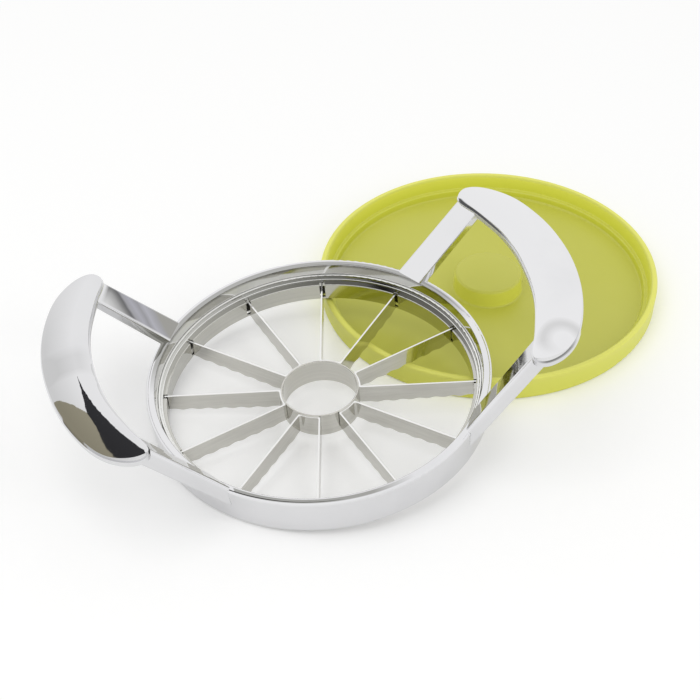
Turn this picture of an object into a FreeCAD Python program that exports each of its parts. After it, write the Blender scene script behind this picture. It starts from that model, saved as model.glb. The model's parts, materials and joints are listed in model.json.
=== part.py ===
import FreeCAD, Part
import math
import os
from FreeCAD import Placement, Rotation, Vector

# Apple slicer and wedger: a cutter with twelve blades and two raised loop
# handles, leaning on the raised rim of its shallow round base. Millimetres,
# +Z up, floor at z = 0, origin under the middle of the whole object.
# Each piece of the cutter is drawn level in the cutter's own frame (underside
# at z = 0, handles along X) and then tilted into place.

# how the two halves lie
baseCentre = (49.83, 38.94)         # middle of the base on the floor
cutterCentre = (-16.18, -37.01)     # middle of the cutter's underside, seen from above
leanAngle = 5.8                     # tilt of the cutter, degrees
leanToward = 223.0                  # way the cutter's axis leans, degrees from +X
handleAzimuth = 14.66               # handles' direction, degrees from +X
floorClearance = 0.05               # least height of the cutter's lowest edge

# cast outer ring
ringHeight = 15.45
ringTopRadius = 64.5
ringFootRadius = 63.2
ringMouthRadius = 61.2              # inner wall at the rim, narrowing to the well
ringWellRadius = 60.3
ringWellTop = 11.3
ringSkirtRadius = 60.6              # inner wall below the shelf
shelfBoreRadius = 58.5
shelfTop = 7.3
shelfThickness = 1.0
rimRoundOut = 1.25
rimRoundIn = 0.8

# blade carrier and the ring that clamps it on the shelf
carrierInnerRadius = 57.3
carrierWall = 0.8
carrierFoot = 0.8
flangeThickness = 0.7
flangeRadius = 60.2
retainerInnerRadius = 58.6
retainerStepRadius = 59.35          # the clamping ring is stepped on the inside
retainerStepTop = 9.75
retainerTop = 11.25
slotWidth = 2.1
slotFoot = 1.8
slotEnd = 58.95                     # slots are open at the top and cut into the flange

# blades, folded in pairs round the core
stripCount = 6
bladeThickness = 0.6
bladeTop = 8.1
bladeShoulder = 57.2                # below the slot a blade stops at the carrier's wall
bladeTip = 58.35                    # its end stands in the slot
tabFoot = 2.1
bladeFootOut = 1.3                  # mean height of the wavy edge at the carrier
bladeFootIn = 0.2                   # and at the core
waveDepth = 0.3
waveCount = 6
waveStepsEach = 4
waveGapIn = 3.0                     # plain length of the edge next to the core
waveGapOut = 2.0
foldRadius = 0.9
coreRadius = 14.6                   # outside of the core ring
coreWall = 0.6
coreFoot = -1.6
coreTop = 8.6

# handles: two straps rising to a crescent plate with a domed grip on it
armAngle = 47.8                     # rise of the straps, degrees
armStart = (42.4, 46.4)             # outer ridge of a strap where it leaves the rim
armTopInset = 10.6                  # width of a strap's upper face, seen from above
armDropRing = 5.2                   # how far that face falls towards the opening
armDropGrip = 3.2
flareDrop = 0.8                     # close to the grip the face rises to the seam
flareStart = 4.6                    # how far from the straps' end that begins
flareEnd = 1.6
armOuterDepth = 7.4
armLip = 3.0
armLipInset = 0.4
armRounds = (1.6, 0.8, 0.6, 1.2)    # the section's corners, from the ridge round
armOverrun = 9.0                    # drawn longer at both ends, then trimmed
armReach = 74.5                     # straps end under the plate at this x
padDepth = 4.4                      # pads join the straps to the plate
padInset = 0.5                      # from the two sides of a strap
gripHalfSpan = 49.5
creaseMid = 45.1                    # seam of plate and grip at the middle
creaseEnd = 43.9                    # and at the two ends
plateThickness = 2.0
plateProud = 0.45
capEdge = 1.0
capRise = 3.4
capCrest = 0.3                      # crest's place from the inner edge, 0 to 1
capFade = 0.85                      # share of the dome lost at the two ends
capDip = 3.0                        # limit of the dome's fall beyond the outline
capRows = 19
capColumns = 15
capStart = -0.45                    # dome drawn past the outline's width on both sides
capEnd = 1.45
capLength = 1.12                    # and past its two ends
innerTurn = 44.0                    # distances where the outline's ends turn round
outerTurn = 46.0
archLength = 1.3                    # arch drawn past the grip's ends
tallEnough = 80.0                   # height of the blanks that get trimmed
# outline of one grip seen from above, from its inner middle round one end
gripOutline = [
    (80.6, 0.0), (79.9, 12.0), (78.2, 21.0), (75.3, 30.0), (72.3, 37.6), (69.6, 43.4),
    (69.3, 46.3), (71.7, 48.4), (76.1, 48.5), (80.7, 46.6), (85.2, 42.9), (89.3, 37.0),
    (92.9, 28.9), (95.7, 19.7), (97.4, 10.0), (98.0, 0.0),
]

# base
baseHeight = 10.4
baseTopRadius = 67.5
baseFootRadius = 66.7
baseTopRound = 0.9
baseFootRound = 1.4
baseWellTop = 64.9
baseWellFoot = 63.9
ledgeHeight = 5.0
ledgeRadius = 62.4
floorRadius = 61.9
floorTop = 2.2
recessHeight = 0.6
recessRadius = 60.0
puckRadius = 13.4
puckTop = 9.7
puckRound = 1.2
puckWall = 2.0
puckDraft = 0.2

up = Vector(0, 0, 1)


def roundedWire(corners, place):
    """Closed wire through (u, v, radius) corners; place turns (u, v) into a point."""
    count = len(corners)
    edges = []
    starts = []
    ends = []
    mids = []
    for i, (u, v, radius) in enumerate(corners):
        here = Vector(u, v, 0)
        before = Vector(corners[i - 1][0], corners[i - 1][1], 0) - here
        after = Vector(corners[(i + 1) % count][0], corners[(i + 1) % count][1], 0) - here
        before.normalize()
        after.normalize()
        half = before.getAngle(after) / 2
        if radius == 0:
            starts.append(here)
            ends.append(here)
            mids.append(None)
            continue
        reach = radius / math.tan(half)
        middle = before + after
        middle.normalize()
        starts.append(here + before * reach)
        ends.append(here + after * reach)
        mids.append(here + middle * (radius / math.sin(half) - radius))
    for i in range(count):
        if mids[i] is not None:
            arc = [place(starts[i]), place(mids[i]), place(ends[i])]
            edges.append(Part.Arc(*arc).toShape())
        edges.append(Part.makeLine(place(ends[i]), place(starts[(i + 1) % count])))
    return Part.Wire(edges)


def turned(corners):
    """Solid of revolution about Z from (radius, height, corner radius) points."""
    wire = roundedWire(corners, lambda p: Vector(p.x, 0, p.y))
    return Part.Face(wire).revolve(Vector(0, 0, 0), up, 360)


def spun(shape, degrees):
    copy = shape.copy()
    copy.rotate(Vector(0, 0, 0), up, degrees)
    return copy


def makeOuterRing():
    shelfFoot = shelfTop - shelfThickness
    return turned([
        (ringSkirtRadius, 0, 0.5),
        (ringFootRadius, 0, 0.8),
        (ringTopRadius, ringHeight, rimRoundOut),
        (ringMouthRadius, ringHeight, rimRoundIn),
        (ringWellRadius, ringWellTop, 0),
        (ringWellRadius, shelfTop, 0),
        (shelfBoreRadius, shelfTop, 0),
        (shelfBoreRadius, shelfFoot, 0.3),
        (ringSkirtRadius, shelfFoot, 0.5),
    ])


def makeRingEnvelope():
    """Everything inside the outer ring's outer face, to trim the straps against."""
    return turned([
        (0, 0, 0),
        (ringFootRadius, 0, 0),
        (ringTopRadius, ringHeight, rimRoundOut),
        (0, ringHeight, 0),
    ])


def bladeAngles():
    step = 360 / (2 * stripCount)
    return [step / 2 + step * i for i in range(2 * stripCount)]


def makeCarrier():
    outer = carrierInnerRadius + carrierWall
    top = shelfTop + flangeThickness
    shape = turned([
        (carrierInnerRadius, carrierFoot, 0.2),
        (outer, carrierFoot, 0.2),
        (outer, shelfTop, 0),
        (flangeRadius, shelfTop, 0),
        (flangeRadius, top, 0),
        (carrierInnerRadius, top, 0.3),
    ])
    start = carrierInnerRadius - carrierWall
    slot = Part.makeBox(slotEnd - start, slotWidth, ringHeight)
    slot.translate(Vector(start, -slotWidth / 2, slotFoot))
    for angle in bladeAngles():
        shape = shape.cut(spun(slot, angle))
    return shape


def makeRetainer():
    low = shelfTop + flangeThickness
    return turned([
        (retainerInnerRadius, low, 0),
        (flangeRadius, low, 0),
        (flangeRadius, retainerTop, 0.2),
        (retainerStepRadius, retainerTop, 0.3),
        (retainerStepRadius, retainerStepTop, 0),
        (retainerInnerRadius, retainerStepTop, 0.3),
    ])


def makeBladePlate():
    """One blade along +X: straight top edge, wavy cutting edge, shoulder at the tip."""
    inner = coreRadius + bladeThickness / 2
    side = -bladeThickness / 2
    waveStart = inner + waveGapIn
    waveEnd = bladeShoulder - waveGapOut
    slope = (bladeFootOut - bladeFootIn) / (waveEnd - waveStart)
    steps = waveStepsEach * waveCount
    wave = []
    for i in range(steps + 1):
        x = waveStart + (waveEnd - waveStart) * i / steps
        mean = bladeFootIn + slope * (x - waveStart)
        swing = math.cos(2 * math.pi * waveCount * i / steps)
        wave.append(Vector(x, side, mean + waveDepth * swing))
    curve = Part.BSplineCurve()
    curve.interpolate(wave)
    outline = [
        Vector(bladeShoulder, side, wave[-1].z),
        Vector(bladeShoulder, side, tabFoot),
        Vector(bladeTip, side, tabFoot),
        Vector(bladeTip, side, bladeTop),
        Vector(inner, side, bladeTop),
        Vector(inner, side, wave[0].z),
        wave[0],
    ]
    edges = [curve.toShape(), Part.makeLine(wave[-1], outline[0])]
    for a, b in zip(outline[:-1], outline[1:]):
        edges.append(Part.makeLine(a, b))
    face = Part.Face(Part.Wire(edges))
    return face.extrude(Vector(0, bladeThickness, 0))


def makeStrip():
    """One folded strip: two blades joined by a short base that hugs the core."""
    half = 180 / (2 * stripCount)
    plate = makeBladePlate()
    foot = bladeFootIn + waveDepth
    low = Vector(0, 0, foot)
    tall = bladeTop - foot
    outside = Part.makeCylinder(coreRadius + bladeThickness, tall, low, up, 2 * half)
    inside = Part.makeCylinder(coreRadius, tall, low, up, 2 * half)
    base = spun(outside.cut(inside), -half)
    shape = base.fuse([spun(plate, half), spun(plate, -half)]).removeSplitter()
    bore = Part.makeCylinder(coreRadius, 2 * bladeTop, Vector(0, 0, coreFoot), up)
    shape = shape.cut(bore)
    folds = []
    for edge in shape.Edges:
        ends = [vertex.Point for vertex in edge.Vertexes]
        if len(ends) != 2 or abs(ends[0].x - ends[1].x) > 0.01 or abs(ends[0].y - ends[1].y) > 0.01:
            continue
        radius = math.hypot(ends[0].x, ends[0].y)
        bearing = abs(math.degrees(math.atan2(ends[0].y, ends[0].x)))
        if radius > coreRadius + 0.5 and radius < coreRadius + 2 and bearing < half:
            folds.append(edge)
    return shape.makeFillet(foldRadius, folds)


def makeCoreRing():
    return turned([
        (coreRadius - coreWall, coreFoot, 0.15),
        (coreRadius, coreFoot, 0.15),
        (coreRadius, coreTop, 0.2),
        (coreRadius - coreWall, coreTop, 0.2),
    ])


def outlineFace(grow):
    """The grip's outline on the plane z = 0, grown outwards all round."""
    half = [Vector(x, y, 0) for x, y in gripOutline]
    points = half + [Vector(p.x, -p.y, 0) for p in reversed(half[1:-1])]
    count = len(points)
    moved = []
    for i, point in enumerate(points):
        along = points[(i + 1) % count] - points[i - 1]
        along.normalize()
        moved.append(point + Vector(-along.y, along.x, 0) * grow)
    curve = Part.BSplineCurve()
    curve.interpolate(moved, PeriodicFlag=True)
    return Part.Face(Part.Wire(curve.toShape()))


def creaseHeight(y):
    return creaseMid - (creaseMid - creaseEnd) * (y / gripHalfSpan) ** 2


def archBody(top, depth):
    """Slab along X whose upper face is the crease's arch, raised by top."""
    wide = archLength * gripHalfSpan

    def arc(z):
        ends = [Vector(0, -wide, creaseHeight(wide) + z), Vector(0, 0, creaseMid + z),
                Vector(0, wide, creaseHeight(wide) + z)]
        return Part.Arc(*ends).toShape()
    upper = arc(top)
    lower = arc(top - depth)
    sides = []
    for i in (0, 1):
        sides.append(Part.makeLine(upper.Vertexes[i].Point, lower.Vertexes[i].Point))
    face = Part.Face(Part.Wire(Part.__sortEdges__([upper, lower] + sides)))
    return face.extrude(Vector(2 * armReach, 0, 0))


def edgeAt(points, y):
    """x of an outline's half, given as (x, y) points, at a distance y from the middle."""
    for (x0, y0), (x1, y1) in zip(points[:-1], points[1:]):
        low, high = min(y0, y1), max(y0, y1)
        if low <= y <= high and high > low:
            return x0 + (x1 - x0) * (y - y0) / (y1 - y0)
    return points[-1][0]


def makeGripCap():
    """Domed grip: a skewed dome over the crescent, standing on the plate's arch."""
    innerHalf = gripOutline[:7]
    outerHalf = list(reversed(gripOutline[8:]))
    rows = []
    widest = capLength * gripHalfSpan
    for j in range(capRows):
        y = widest * (2 * j / (capRows - 1) - 1)
        inside = edgeAt(innerHalf, min(abs(y), innerTurn))
        outside = edgeAt(outerHalf, min(abs(y), outerTurn))
        fade = 1 - capFade * (abs(y) / widest) ** 2
        row = []
        for i in range(capColumns):
            across = capStart + (capEnd - capStart) * i / (capColumns - 1)
            if across < capCrest:
                bend = (across - capCrest) / capCrest
            else:
                bend = (across - capCrest) / (1 - capCrest)
            rise = capRise * fade * (1 - min(bend * bend, capDip))
            row.append(Vector(inside + (outside - inside) * across, y,
                              creaseHeight(y) + capEdge + rise))
        rows.append(row)
    surface = Part.BSplineSurface()
    surface.interpolate(rows)
    block = surface.toShape().extrude(Vector(0, 0, -tallEnough / 2))
    prism = outlineFace(0).extrude(Vector(0, 0, tallEnough))
    return prism.common(block).cut(archBody(0, tallEnough))


def makePlate():
    """Crescent under the grip, thicker where the straps meet it."""
    prism = outlineFace(plateProud).extrude(Vector(0, 0, tallEnough))
    width = armTopInset - 2 * padInset
    near = armStart[1] - armTopInset + padInset
    block = Part.makeBox(armReach, width, tallEnough, Vector(0, near, 0))
    blocks = block.fuse(block.mirror(Vector(0, 0, 0), Vector(0, 1, 0)))
    pads = prism.common(archBody(0, padDepth)).common(blocks)
    return prism.common(archBody(0, plateThickness)).fuse(pads)


def makeArm():
    """One strap at +Y: a loft from inside the ring to under the plate."""
    rise = math.radians(armAngle)
    along = Vector(math.cos(rise), 0, math.sin(rise))
    normal = Vector(-math.sin(rise), 0, math.cos(rise))
    ridge = Vector(armStart[0], armStart[1], ringHeight)
    total = (armReach - armStart[0]) / math.cos(rise)

    def section(distance, flared):
        share = distance / total
        drop = armDropRing + (armDropGrip - armDropRing) * share
        top = flareDrop if flared else drop
        corners = [
            (0, 0, armRounds[0]),
            (-armTopInset, -top, armRounds[1]),
            (-armTopInset, -drop - armLip, armRounds[2]),
            (-armLipInset, -armOuterDepth, armRounds[3]),
        ]
        start = ridge + along * distance
        return roundedWire(corners, lambda p: start + Vector(0, p.x, 0) + normal * p.y)

    sections = [
        section(-armOverrun, False),
        section(total - flareStart, False),
        section(total - flareEnd, True),
        section(total + armOverrun, True),
    ]
    return Part.makeLoft(sections, True, True)


def makeLoop(envelope):
    arm = makeArm()
    other = arm.mirror(Vector(0, 0, 0), Vector(0, 1, 0))
    plate = makePlate()
    block = Part.makeBox(armReach, 4 * gripHalfSpan, tallEnough, Vector(0, -2 * gripHalfSpan, 0))
    arms = arm.fuse(other).common(block.common(archBody(0, tallEnough)))
    return plate.fuse(arms).cut(envelope).removeSplitter()


def makeBase():
    return turned([
        (0, puckTop - puckWall, 0),
        (puckRadius - puckWall, puckTop - puckWall, 0.8),
        (puckRadius - puckWall, recessHeight, 0.8),
        (recessRadius, recessHeight, 0.5),
        (recessRadius + recessHeight, 0, 0.5),
        (baseFootRadius, 0, baseFootRound),
        (baseTopRadius, baseHeight, baseTopRound),
        (baseWellTop, baseHeight, baseTopRound),
        (baseWellFoot, ledgeHeight, 0.5),
        (ledgeRadius, ledgeHeight, 0.5),
        (floorRadius, floorTop, 0.8),
        (puckRadius + puckDraft, floorTop, 0.9),
        (puckRadius, puckTop, puckRound),
        (0, puckTop, 0),
    ])


def main():
    os.makedirs("parts", exist_ok=True)
    lean = math.radians(leanAngle)
    tiltAxis = Vector(-math.sin(math.radians(leanToward)), math.cos(math.radians(leanToward)), 0)
    tilt = Rotation(tiltAxis, leanAngle).multiply(Rotation(up, handleAzimuth))
    height = ringFootRadius * math.sin(lean) + floorClearance
    seat = Placement(Vector(cutterCentre[0], cutterCentre[1], height), tilt)

    envelope = makeRingEnvelope()
    loop = makeLoop(envelope)
    cap = makeGripCap()
    strip = makeStrip()
    pieces = {
        "outer_ring": makeOuterRing(),
        "blade_carrier_ring": makeCarrier(),
        "retaining_ring": makeRetainer(),
        "core_ring": makeCoreRing(),
        "handle_loop_right": loop,
        "handle_loop_left": spun(loop, 180),
        "grip_right": cap,
        "grip_left": spun(cap, 180),
    }
    names = ["right", "back_right", "back_left", "left", "front_left", "front_right"]
    for i, name in enumerate(names):
        pieces["blade_pair_" + name] = spun(strip, 360 / stripCount * i)
    for shape in pieces.values():
        shape.Placement = seat.multiply(shape.Placement)
    base = makeBase()
    base.translate(Vector(baseCentre[0], baseCentre[1], 0))
    pieces["base_dish"] = base

    whole = FreeCAD.BoundBox()
    for name, shape in pieces.items():
        solids = shape.Solids
        print(name, "solids", len(solids), "valid", shape.isValid(),
              "volume %.1f mm3" % shape.Volume)
        if len(solids) == 1:
            shape = solids[0]
        whole.add(shape.BoundBox)
        shape.exportStep(os.path.join("parts", name + ".step"))
    print("box", whole)


main()
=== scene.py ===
import json
import math
import bpy
from mathutils import Matrix, Vector

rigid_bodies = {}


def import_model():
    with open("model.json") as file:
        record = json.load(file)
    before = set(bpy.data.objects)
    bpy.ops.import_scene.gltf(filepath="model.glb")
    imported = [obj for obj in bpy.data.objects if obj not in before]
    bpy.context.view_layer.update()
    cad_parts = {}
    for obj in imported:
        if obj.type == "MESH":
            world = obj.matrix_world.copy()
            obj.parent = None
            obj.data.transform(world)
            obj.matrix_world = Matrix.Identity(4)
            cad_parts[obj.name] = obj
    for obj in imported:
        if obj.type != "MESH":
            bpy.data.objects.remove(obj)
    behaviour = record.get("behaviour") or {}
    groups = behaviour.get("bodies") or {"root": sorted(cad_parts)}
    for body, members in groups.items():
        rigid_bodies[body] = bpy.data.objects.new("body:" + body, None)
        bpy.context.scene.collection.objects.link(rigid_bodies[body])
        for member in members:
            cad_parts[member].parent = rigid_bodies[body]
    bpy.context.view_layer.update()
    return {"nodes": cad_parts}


for leftover in list(bpy.data.objects):  # start from an empty scene
    bpy.data.objects.remove(leftover)
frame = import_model()
nodes = frame["nodes"]
print("frame loaded:", len(nodes), "solids")


# A socket that can stand in plain arithmetic; each operator adds its Math node.
class Signal:
    def __init__(self, tree, socket):
        self.tree = tree
        self.socket = socket

    def maths(self, operation, first, second):
        node = self.tree.nodes.new("ShaderNodeMath")
        node.operation = operation
        for place, value in enumerate((first, second)):
            if isinstance(value, Signal):
                self.tree.links.new(value.socket, node.inputs[place])
            else:
                node.inputs[place].default_value = value
        return Signal(self.tree, node.outputs[0])

    def __add__(self, other):
        return self.maths("ADD", self, other)

    def __radd__(self, other):
        return self.maths("ADD", other, self)

    def __sub__(self, other):
        return self.maths("SUBTRACT", self, other)

    def __rsub__(self, other):
        return self.maths("SUBTRACT", other, self)

    def __mul__(self, other):
        return self.maths("MULTIPLY", self, other)

    def __rmul__(self, other):
        return self.maths("MULTIPLY", other, self)

    def __pow__(self, other):
        return self.maths("POWER", self, other)


# One finish: a material's node tree and a way to add any node to it.
class Finish:
    def __init__(self, name, tree=None):
        if tree is None:
            self.material = bpy.data.materials.new(name)
            self.material.use_nodes = True
            tree = self.material.node_tree
        self.tree = tree
        tree.nodes.clear()

    def node(self, kind, settings=None, values=None, out=0):
        made = self.tree.nodes.new(kind)
        for key, value in (settings or {}).items():
            if key == "stops":
                ramp = made.color_ramp
                while len(ramp.elements) < len(value):
                    ramp.elements.new(0.5)
                for element, (position, colour) in zip(ramp.elements, value):
                    element.position = position
                    element.color = colour
            else:
                setattr(made, key, value)
        for key, value in (values or {}).items():
            socket = made.inputs[key]
            if isinstance(value, Signal):
                self.tree.links.new(value.socket, socket)
            else:
                socket.default_value = value
        if out is None:
            return made
        return Signal(self.tree, made.outputs[out])

    def mixColour(self, share, low, high):
        values = {0: share, 6: low, 7: high}  # the Mix node's factor and its two colours
        return self.node("ShaderNodeMix", {"data_type": "RGBA"}, values, out=2)

    def between(self, value, low, high, atLow=0.0, atHigh=1.0):
        values = {0: value, 1: low, 2: high, 3: atLow, 4: atHigh}
        return self.node("ShaderNodeMapRange", {}, values)

    def ramp(self, value, stops):
        return self.node("ShaderNodeValToRGB", {"stops": stops}, {0: value})

    def place(self):
        return self.node("ShaderNodeTexCoord", out="Object")

    def facingUp(self):  # 1 on a level face, 0 on an upright one
        return self.split(self.node("ShaderNodeNewGeometry", out="Normal"))[2]

    def split(self, vector):
        parts = self.node("ShaderNodeSeparateXYZ", {}, {0: vector}, out=None)
        return [Signal(self.tree, part) for part in parts.outputs]

    def join(self, x, y, z):
        return self.node("ShaderNodeCombineXYZ", {}, {0: x, 1: y, 2: z})

    # A place as one vector, its three axes, and how far out it is from the upright axis.
    def measure(self, where):
        x, y, z = self.split(where)
        return {"where": where, "x": x, "y": y, "z": z, "out": (x * x + y * y) ** 0.5}

    # A patch fades in from a measure's first limit to its second and, where there are four limits,
    # out again from the third to the fourth.
    def patch(self, place, limits):
        shares = []
        for measure, (start, full, *end) in limits.items():
            shares.append(self.between(place[measure], start, full))
            if end:
                shares.append(self.between(place[measure], end[1], end[0]))
        return math.prod(shares[1:], start=shares[0])

    def noise(self, where, scale, detail=3.0, roughness=0.5):
        values = {"Vector": where, "Scale": scale, "Detail": detail, "Roughness": roughness}
        return self.node("ShaderNodeTexNoise", {}, values)

    def blotches(self, where, look):
        return self.between(self.noise(where, look["scale"], look["detail"]), *look["span"])

    # Lines drawn into metal. How fine they are each way is in the place handed in.
    def lines(self, stretched, look):
        return self.noise(stretched, 1, look["detail"], look["ragged"])

    def bump(self, height, strength, distance):
        values = {"Height": height, "Strength": strength, "Distance": distance}
        return self.node("ShaderNodeBump", {}, values)

    def surface(self, values):
        shader = self.node("ShaderNodeBsdfPrincipled", {}, values)
        self.node("ShaderNodeOutputMaterial", {}, {"Surface": shader}, out=None)
        return self.material


def dress(name, material):
    for place in nodes[name].material_slots:
        place.material = material


cutter = {
    "seat": (-0.01618, -0.03701, 0.00644),  # middle of the cutter's underside
    "lean": 5.8,                            # tilt in degrees
    "leanToward": 223.0,                    # way its axis leans, degrees from +X
    "handles": 14.66,                       # direction of the handles, degrees from +X
}


def cutterMatrix():
    toward = math.radians(cutter["leanToward"])
    axis = Vector((-math.sin(toward), math.cos(toward), 0))
    tilt = Matrix.Rotation(math.radians(cutter["lean"]), 4, axis)
    turn = Matrix.Rotation(math.radians(cutter["handles"]), 4, "Z")
    return Matrix.Translation(cutter["seat"]) @ tilt @ turn


# Places in metres in the cutter's own frame: x along the handles, y across them, z up, out from its axis.
def cutterPlace(f):
    seat, turn, _ = cutterMatrix().decompose()
    values = {"Vector": f.place(), "Location": seat, "Rotation": turn.to_euler()}
    return f.measure(f.node("ShaderNodeMapping", {"vector_type": "TEXTURE"}, values))


chrome = {
    "polish": 0.035,      # roughness of the clean plating
    "smear": 0.05,        # extra roughness where it has been handled,
    "dusty": 0.04,        # where dust lies,
    "brushed": 0.4,       # and on the inner lip where plate and grip meet
    "dim": 0.94,          # tone of a handled patch against a clean one
    "blue": 1.015,        # blue against red and green in the clean plating
    "dimBlue": 1.02,      # and in a handled patch
    "handled": {"scale": 30, "detail": 4, "span": (0.5, 0.75)},
    "dust": {"scale": 900, "detail": 2, "span": (0.62, 0.8)},
    "ripple": {"scale": 55, "detail": 1, "strength": 0.05, "depth": 0.0004},   # slow waves left by casting
    "lip": {"out": (0.0828, 0.0824), "z": (0.0410, 0.0420)},
    "lipSteepness": (0.12, 0.05),    # only its upright faces
}


# Plating for one piece: its tone, set lighter or darker from piece to piece as painted light, a seed that
# shifts its marks, and its patches of painted shade and painted reflection.
# Each patch has limits, or a function that gives its share, and a colour, or a function that gives one.
def chromeFinish(piece):
    f = Finish(piece["finish"])
    tone, dim = piece["tone"], piece["tone"] * chrome["dim"]
    where = f.node("ShaderNodeVectorMath", {"operation": "ADD"}, {0: f.place(), 1: [piece["seed"]] * 3})
    handled = f.blotches(where, chrome["handled"])
    dust = f.blotches(where, chrome["dust"])
    clean, worn = (tone, tone, tone * chrome["blue"], 1), (dim, dim, dim * chrome["dimBlue"], 1)
    platingAndPaintedLight = f.mixColour(handled, clean, worn)
    place = cutterPlace(f)
    # each patch paints shade or a reflection into the plating's colour
    for share, colour in piece["paintedLight"]:
        share = share(f, place) if callable(share) else f.patch(place, share)
        platingAndPaintedLight = f.mixColour(share, platingAndPaintedLight, colour(f, place) if callable(colour) else colour)
    up = f.facingUp()
    lip = f.between(up * up, *chrome["lipSteepness"]) * f.patch(place, chrome["lip"])
    rough = chrome["polish"] + handled * chrome["smear"] + dust * chrome["dusty"] + lip * chrome["brushed"]
    look = chrome["ripple"]
    ripple = f.noise(where, look["scale"], look["detail"])
    return f.surface({
        "Base Color": platingAndPaintedLight,
        "Metallic": 1.0,
        "Roughness": rough,
        "Normal": f.bump(ripple, look["strength"], look["depth"]),
    })


outerRing = {
    "finish": "ringChrome", "tone": 0.79, "seed": 0.0,
    "paintedLight": [
        # painted shade: the inner wall above the clamping ring, a little darker for the dark things it
        # mirrors
        ({"out": (0.0614, 0.0612), "z": (0.0110, 0.0113, 0.0144, 0.0150)}, (0.70, 0.70, 0.685, 1)),
        # painted shade behind the carrier's slots, near black as in a deep gap
        ({"out": (0.0610, 0.0608), "z": (0.0063, 0.0062)}, (0.02, 0.02, 0.018, 1)),
        # a painted dark reflection along the top of the rim at the front
        ({"out": (0.0619, 0.0622, 0.0635, 0.0638), "x": (-0.0428, -0.0423, 0.004, 0.020),
          "y": (-0.030, -0.035), "z": (0.0138, 0.0144)}, (0.37, 0.37, 0.355, 1)),
        # painted shade on the inner half of the rim's top at the back
        ({"out": (0.0628, 0.0625), "y": (0.010, 0.025), "z": (0.0138, 0.0144)}, (0.44, 0.44, 0.43, 1)),
    ],
}
dress("outer_ring", chromeFinish(outerRing))


# Painted reflections on the face of the left handle's far strap: dark and light bands that cross it at a
# slant.
paintedStrapBands = {
    "lowest": 0.0155, "highest": 0.0405,    # its ends
    "outer": 0.0450, "inner": 0.0366,       # its edges
    "slant": 0.42,
    "waver": 0.12,                          # how far the bands' edges wander,
    "waverSize": (90, 160, 90),             # how finely,
    "waverDetail": 2,                       # and how raggedly
    "reach": 0.704,                         # brings height and slant together to at most 1
    "bands": [
        (0.27, (0.34, 0.335, 0.315, 1)), (0.33, (0.36, 0.36, 0.38, 1)), (0.42, (0.43, 0.43, 0.47, 1)),
        (0.50, (0.32, 0.32, 0.34, 1)), (0.58, (0.40, 0.40, 0.44, 1)), (0.66, (0.34, 0.34, 0.36, 1)),
        (0.70, (0.14, 0.14, 0.145, 1)), (0.75, (0.23, 0.23, 0.23, 1)), (0.81, (0.38, 0.38, 0.38, 1)),
        (0.90, (0.52, 0.52, 0.52, 1)), (1.0, (0.64, 0.64, 0.64, 1)),
    ],
}


# The painted reflection's bands, as a ramp of greys across the strap.
def paintedStrapReflection(f, place):
    height = f.between(place["z"], paintedStrapBands["lowest"], paintedStrapBands["highest"])
    across = f.between(place["y"], paintedStrapBands["outer"], paintedStrapBands["inner"])
    stretched = f.join(*(place[axis] * size for axis, size in zip("xyz", paintedStrapBands["waverSize"])))
    waver = (f.noise(stretched, 1, paintedStrapBands["waverDetail"]) - 0.5) * paintedStrapBands["waver"]
    return f.ramp((across * paintedStrapBands["slant"] + height + waver) * paintedStrapBands["reach"], paintedStrapBands["bands"])


leftLoop = {
    "finish": "leftLoopChrome", "tone": 0.76, "seed": 4.6,
    "paintedLight": [
        # painted reflections on the upper face of the far strap
        ({"y": (0.0364, 0.0372, 0.0443, 0.0450), "z": (0.0150, 0.0158, 0.0415, 0.0428)}, paintedStrapReflection),
        # painted dark reflection on the side of that strap that faces the blades, towards the ring
        ({"y": (0.030, 0.032, 0.0360, 0.0362), "z": (0.034, 0.021)}, (0.36, 0.36, 0.33, 1)),
    ],
}
dress("handle_loop_left", chromeFinish(leftLoop))


# Painted shade, standing in for dark reflections, on the outer half of the left grip, and in a band across
# its middle.
leftShade = {
    "bow": 6,                                          # how much its edges curve with the grip
    "half": (0.0865, 0.0965),                          # fades in across the grip,
    "halfFade": (0.015, 0.045, 0.9, 0.4),              # and along it goes from the first share to the last
    "band": {"y": (-0.0065, -0.003, 0.004, 0.0095)},
    "bandFade": (0.0795, 0.0845, 0, 0.45),             # and across it up to this share
}


def leftGripShade(f, place):
    bowed = place["y"] * place["y"] * leftShade["bow"] - place["x"]
    half = f.between(bowed, *leftShade["half"]) * f.between(place["y"], *leftShade["halfFade"])
    return half + f.patch(place, leftShade["band"]) * f.between(bowed, *leftShade["bandFade"])


leftGrip = {
    "finish": "leftGripChrome", "tone": 0.76, "seed": 9.2,
    "paintedLight": [(leftGripShade, (0.56, 0.56, 0.565, 1))],
}
dress("grip_left", chromeFinish(leftGrip))


# Painted shade in the seam where the front end of the right grip meets its plate: its patch and its colour.
frontSeamShade = (
    {"z": (0.0435, 0.0437, 0.0442, 0.0445), "y": (-0.041, -0.045), "x": (0.070, 0.073)},
    (0.46, 0.46, 0.455, 1),
)
rightLoop = {"finish": "rightLoopChrome", "tone": 0.79, "seed": 3.1, "paintedLight": [frontSeamShade]}
dress("handle_loop_right", chromeFinish(rightLoop))


# A soft arch of painted shade near the front end of the right grip.
arch = {
    "x": 0.0815, "y": -0.0425,     # its middle
    "limits": {"away": (0.0035, 0.0068, 0.0078, 0.0105), "y": (-0.048, -0.041)},
}


def rightGripShade(f, place):
    x, y = place["x"] - arch["x"], place["y"] - arch["y"]
    return f.patch({"away": (x * x + y * y) ** 0.5, "y": place["y"]}, arch["limits"])


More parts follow.
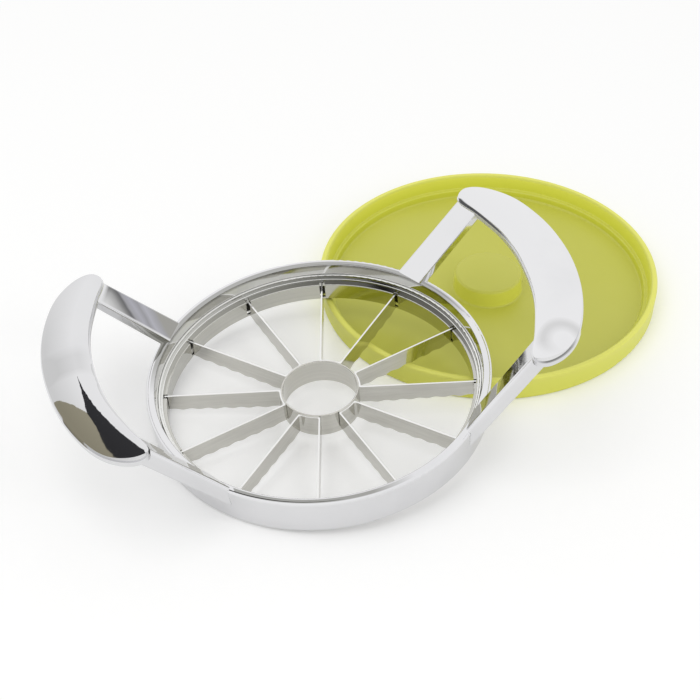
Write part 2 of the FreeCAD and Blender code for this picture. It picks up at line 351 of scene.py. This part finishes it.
rightGrip = {
    "finish": "rightGripChrome", "tone": 0.81, "seed": 7.7,
    "paintedLight": [
        (rightGripShade, (0.66, 0.66, 0.665, 1)),
        # painted shade in the seam under its far end
        ({"out": (0.0828, 0.0824), "z": (0.0440, 0.0442, 0.0453, 0.0456), "y": (0.012, 0.022)},
         (0.1, 0.1, 0.105, 1)),
        frontSeamShade,
    ],
}
dress("grip_right", chromeFinish(rightGrip))
print("plating on")


blades = {
    "face": (0.60, 0.59, 0.55, 1),
    "streak": (0.68, 0.67, 0.63, 1),
    "groundAndHighlight": (0.86, 0.86, 0.85, 1),   # the ground top edge, painted lighter too as a highlight
    "level": (0.9, 0.97),              # which faces count as that edge
    "fineness": {"out": 12, "x": 60, "z": 900},     # of the lines along each measure
    "lines": {"detail": 3, "ragged": 0.6, "span": (0.3, 0.7), "strength": 0.03, "depth": 0.00005},
    "cloud": {"scale": 45, "detail": 2},
    "satin": 0.08, "cloudy": 0.04, "drawn": 0.03,   # roughness, and what clouds and lines add to it
    "edgeShine": 0.1,                               # roughness of the top edge
}


# Rolled stainless: fine lines run out from the core along each blade, and its ground top edge is painted
# bright as a highlight.
def bladeFinish():
    f = Finish("bladeSteel")
    place = cutterPlace(f)
    look = blades["lines"]
    lines = f.lines(f.join(*(place[axis] * size for axis, size in blades["fineness"].items())), look)
    cloud = f.noise(place["where"], blades["cloud"]["scale"], blades["cloud"]["detail"])
    edge = f.between(f.facingUp(), *blades["level"])
    face = f.mixColour(f.between(lines, *look["span"]), blades["face"], blades["streak"])
    satin = blades["satin"] + cloud * blades["cloudy"] + lines * blades["drawn"]
    return f.surface({
        # the top edge's colour is a painted highlight on the ground steel
        "Base Color": f.mixColour(edge, face, blades["groundAndHighlight"]),
        "Metallic": 1.0,
        "Roughness": satin * (1 - edge) + edge * blades["edgeShine"],
        "Normal": f.bump(lines, look["strength"], look["depth"]),
    })


bladeSteel = bladeFinish()
for name in nodes:
    if name.startswith("blade_pair"):
        dress(name, bladeSteel)


turned = {
    "bright": 1.12,                    # tone of a bright line against the face
    "fineness": 1400, "wander": 4,     # of the lines, across them and along them
    "lines": {"detail": 3, "ragged": 0.6, "span": (0.3, 0.7), "strength": 0.05, "depth": 0.00005},
    "cloud": {"scale": 40, "detail": 2},
    "satin": 0.08, "cloudy": 0.05, "drawn": 0.04,   # roughness, and what clouds and lines add to it
    "shade": (0.10, 0.10, 0.09, 1),    # painted shade in the steps and slots
    "walls": (0.75, 0.35),             # which faces are steep enough to get it
    "paintedShadeAlong": (-0.045, 0.020),     # it thickens from one side of the ring to the other,
    "paintedShadeLeast": 0.3,                 # from this share of it
    "slotLevel": (0.5, 0.8), "slotFloor": (0.0050, 0.0040),   # the floors of the slots, by slope and height
}
carrierRing = {"finish": "carrierSteel", "face": (0.55, 0.545, 0.51), "seed": 1.3, "paintedShade": 0.0}
retainingRing = {"finish": "retainerSteel", "face": (0.80, 0.80, 0.78), "seed": 2.2, "paintedShade": 0.9}
coreRing = {"finish": "coreSteel", "face": (0.62, 0.61, 0.57), "seed": 5.0, "paintedShade": 0.0}


# Turned or rolled rings: the fine lines go round the cutter's axis, and low walls and the slot floors get
# painted shade.
def turnedFinish(ring):
    f = Finish(ring["finish"])
    place = cutterPlace(f)
    look = turned["lines"]
    across, up = place["out"] * turned["fineness"], place["z"] * turned["fineness"]
    lines = f.lines(f.join(across, up, place["x"] * turned["wander"] + ring["seed"]), look)
    cloud = f.noise(place["where"], turned["cloud"]["scale"], turned["cloud"]["detail"])
    bright = [min(1.0, part * turned["bright"]) for part in ring["face"]]
    clean = f.mixColour(f.between(lines, *look["span"]), (*ring["face"], 1), (*bright, 1))
    level = f.facingUp()
    # painted shade on the steep faces, heavier towards one side of the ring
    paintedShade = f.between(place["x"], *turned["paintedShadeAlong"], ring["paintedShade"] * turned["paintedShadeLeast"], ring["paintedShade"])
    slotFloor = f.between(level, *turned["slotLevel"]) * f.between(place["z"], *turned["slotFloor"])
    shaded = f.between(level, *turned["walls"]) * paintedShade + slotFloor
    return f.surface({
        "Base Color": f.mixColour(shaded, clean, turned["shade"]),
        "Metallic": 1.0,
        "Roughness": turned["satin"] + cloud * turned["cloudy"] + lines * turned["drawn"],
        "Normal": f.bump(lines, look["strength"], look["depth"]),
    })


dress("blade_carrier_ring", turnedFinish(carrierRing))
dress("retaining_ring", turnedFinish(retainingRing))
dress("core_ring", turnedFinish(coreRing))
print("steel on")


lime = {
    "middle": (0.04983, 0.03894, 0.0),   # of the dish, on the floor
    "colour": (0.575, 0.58, 0.075, 1),
    "pale": (0.61, 0.61, 0.105, 1),
    "cloud": {"scale": 16, "detail": 3, "span": (0.35, 0.7)},
    "wall": (0.82, 0.83, 0.13, 1),     # painted light: upright outer walls are painted paler, for light coming through the thin plastic
    "level": (0.05, 0.9),              # from upright to level
    "well": [                          # the inner side of the rim, from the floor up: painted shade at its foot, growing paler towards the top as painted light
        (0.22, (0.62, 0.64, 0.055, 1)), (0.50, (0.73, 0.75, 0.07, 1)),
        (0.75, (0.82, 0.84, 0.095, 1)), (1.0, (0.90, 0.91, 0.14, 1)),
    ],
    "wellTop": 0.010,                  # the height where those colours end
    "wellAt": {"out": (0.0600, 0.0605, 0.0648, 0.0652)},
    "ledge": (0.65, 0.66, 0.09, 1),    # the step inside the rim, painted paler as a highlight
    "ledgeAt": {"out": (0.0619, 0.0624)},
    # the rim, painted pale as a highlight
    "rim": (0.84, 0.84, 0.16, 1),
    "rimAt": {"out": (0.0650, 0.0658), "z": (0.0070, 0.0100)},
    "roughness": 0.36, "grainy": 0.08,   # and what the grain adds to it
    "grain": {"scale": 1100, "detail": 2, "span": (0.3, 0.7), "strength": 0.06, "depth": 0.0001},
}


def limeFinish():
    f = Finish("limePlastic")
    where = f.place()
    centred = f.node("ShaderNodeVectorMath", {"operation": "SUBTRACT"}, {0: where, 1: lime["middle"]})
    place = f.measure(centred)
    plain = f.mixColour(f.blotches(where, lime["cloud"]), lime["colour"], lime["pale"])
    level = f.mixColour(f.patch(place, lime["ledgeAt"]), plain, lime["ledge"])
    well = f.ramp(place["z"] * (1 / lime["wellTop"]), lime["well"])
    upright = f.mixColour(f.patch(place, lime["wellAt"]), lime["wall"], well)
    both = f.mixColour(f.between(f.facingUp(), *lime["level"]), upright, level)
    look = lime["grain"]
    grain = f.noise(where, look["scale"], look["detail"])
    return f.surface({
        "Base Color": f.mixColour(f.patch(place, lime["rimAt"]), both, lime["rim"]),
        "Roughness": lime["roughness"] + f.between(grain, *look["span"]) * lime["grainy"],
        "Normal": f.bump(grain, look["strength"], look["depth"]),
    })


dress("base_dish", limeFinish())
print("lime plastic on")


studio = {
    "floorHalf": 3.0,                      # half the floor's width
    "floorColour": (0.885, 0.885, 0.88, 1),
    "floorGlow": 0.19,                     # what the camera sees added to the floor,
    "mirrorFloorGlow": 0.11,               # and what polished metal sees added
    "worldStrength": 0.74,                 # the sky as a light,
    "mirrorSky": 1.0,                      # and as polished metal sees it
    "skyColour": (1.0, 1.0, 1.0, 1),
}


def raysOf(f):   # shares of the rays that come straight from the camera and from a glossy bounce
    ray = f.node("ShaderNodeLightPath", out=None)
    return [Signal(f.tree, ray.outputs[kind]) for kind in ("Is Camera Ray", "Is Glossy Ray")]


def addSheet(name, corners, finish):
    mesh = bpy.data.meshes.new(name)
    mesh.from_pydata(corners, [], [tuple(range(len(corners)))])
    mesh.materials.append(finish.material)
    sheet = bpy.data.objects.new(name, mesh)
    bpy.context.scene.collection.objects.link(sheet)
    return sheet


def makeFloor():
    half = studio["floorHalf"]
    f = Finish("floorPaint")
    camera, glossy = raysOf(f)
    strength = camera * studio["floorGlow"] + glossy * studio["mirrorFloorGlow"]
    paint = f.node("ShaderNodeBsdfDiffuse", {}, {"Color": studio["floorColour"]})
    glow = f.node("ShaderNodeEmission", {}, {"Color": (1, 1, 1, 1), "Strength": strength})
    both = f.node("ShaderNodeAddShader", {}, {0: paint, 1: glow})
    f.node("ShaderNodeOutputMaterial", {}, {"Surface": both}, out=None)
    addSheet("floor", [(-half, -half, 0), (half, -half, 0), (half, half, 0), (-half, half, 0)], f)


def makeSky():
    world = bpy.data.worlds.new("studioSky")
    bpy.context.scene.world = world
    world.use_nodes = True
    f = Finish("sky", world.node_tree)
    camera, glossy = raysOf(f)
    strength = (1 - camera - glossy) * studio["worldStrength"] + camera + glossy * studio["mirrorSky"]
    sky = f.node("ShaderNodeBackground", {}, {"Color": studio["skyColour"], "Strength": strength})
    f.node("ShaderNodeOutputWorld", {}, {"Surface": sky}, out=None)


# Small cards that only polished metal sees. They hang square to a line from the left grip, a millimetre
# apart, and their corners are millimetres across and up from that line.
cards = {
    "over": (-0.092, -0.094, 0.044),   # where the line starts, on the grip
    "bearing": -35.0,                  # its direction, degrees from +Y towards +X
    "height": 62.0,                    # and its rise
    "charcoal": {
        "distance": 0.080, "colour": (0.04, 0.04, 0.043, 1),
        "corners": [(-14, -37.5), (-13.2, -33), (-12.8, -28), (-12.9, -23), (-13.4, -17.5), (-14.6, -13),
                    (-17.2, -8.6), (-21, -4.8), (-25, -1.6), (-30.5, 2), (-38.5, 6), (-48, 8.6), (-60, 10),
                    (-88, 10), (-88, 45), (-10, 42), (38, 30), (38, 18), (33, 13.8), (25.2, 7.6), (20.4, 2.8),
                    (16.4, -1.2), (13.4, -4.4), (11.3, -7.4), (10.4, -10.6), (10.2, -13.6), (8.6, -16.9),
                    (4.8, -19.6), (0.6, -22.6), (-3.5, -26), (-7.5, -30), (-11.4, -34.4)],
    },
    "khaki": {
        "distance": 0.081, "colour": (0.40, 0.37, 0.275, 1),
        "corners": [(8.4, -17.8), (10.8, -19.9), (13.4, -22.2), (15.9, -24.9), (18.1, -28), (20.5, -31.8),
                    (23.1, -35.9), (26, -40.1), (29.2, -44.6), (32.4, -49.3), (35.6, -54.2), (38.8, -59),
                    (42, -63), (49, -54), (54, -42), (55, -30), (54, -20), (50, -5), (50, 10), (50, 30),
                    (30, 30), (20, 20), (5, 0)],
    },
}
millimetre = 0.001


def makeCards():
    rise, turn = math.radians(cards["height"]), math.radians(cards["bearing"])
    line = Vector((math.sin(turn) * math.cos(rise), math.cos(turn) * math.cos(rise), math.sin(rise)))
    across = Vector((0, 0, 1)).cross(line).normalized()
    upward = line.cross(across)
    for name in ("charcoal", "khaki"):
        card = cards[name]
        middle = Vector(cards["over"]) + line * card["distance"]
        corners = [middle + (across * u + upward * v) * millimetre for u, v in card["corners"]]
        f = Finish(name + "Paper")
        paper = f.node("ShaderNodeEmission", {}, {"Color": card["colour"], "Strength": 1.0})
        f.node("ShaderNodeOutputMaterial", {}, {"Surface": paper}, out=None)
        sheet = addSheet(name + "Card", corners, f)
        sheet.visible_camera = False
        sheet.visible_diffuse = False
        sheet.visible_shadow = False
        sheet.visible_transmission = False


lamps = {
    "aim": (0, 0, 0.02),
    "overhead": {"at": (-0.35, -0.25, 1.15), "size": 0.9, "watts": 2.6},
    "side": {"at": (0.9, -0.7, 0.8), "size": 0.6, "watts": 1.5},
}


def makeLamps():
    for name in ("overhead", "side"):
        lamp = lamps[name]
        data = bpy.data.lights.new(name, "AREA")
        data.shape = "SQUARE"
        data.size = lamp["size"]
        data.energy = lamp["watts"]
        light = bpy.data.objects.new(name, data)
        light.location = lamp["at"]
        aim = Vector(lamps["aim"]) - light.location
        light.rotation_euler = aim.to_track_quat("-Z", "Y").to_euler()
        light.visible_glossy = False  # the metal mirrors the plain sky, not the lamps
        bpy.context.scene.collection.objects.link(light)


view = {
    "target": (-0.00556, 0.00199, 0.0),  # the spot on the floor that the camera looks at
    "distance": 0.86536,
    "elevation": 40.14,
    "lens": 113.95,
    "sensor": 36,
    "farthest": 20,                      # how far it sees
}


def makeCamera():
    data = bpy.data.cameras.new("camera")
    data.lens = view["lens"]
    data.sensor_width = view["sensor"]
    data.clip_end = view["farthest"]
    camera = bpy.data.objects.new("camera", data)
    rise = math.radians(view["elevation"])
    away = Vector((0, -math.cos(rise), math.sin(rise))) * view["distance"]
    camera.location = Vector(view["target"]) + away
    camera.rotation_euler = (-away).to_track_quat("-Z", "Y").to_euler()
    bpy.context.scene.collection.objects.link(camera)
    bpy.context.scene.camera = camera


makeFloor()
makeSky()
makeCards()
makeLamps()
makeCamera()
bpy.context.scene.view_settings.view_transform = "Standard"
print("stage, light and camera set")

bpy.context.view_layer.update()
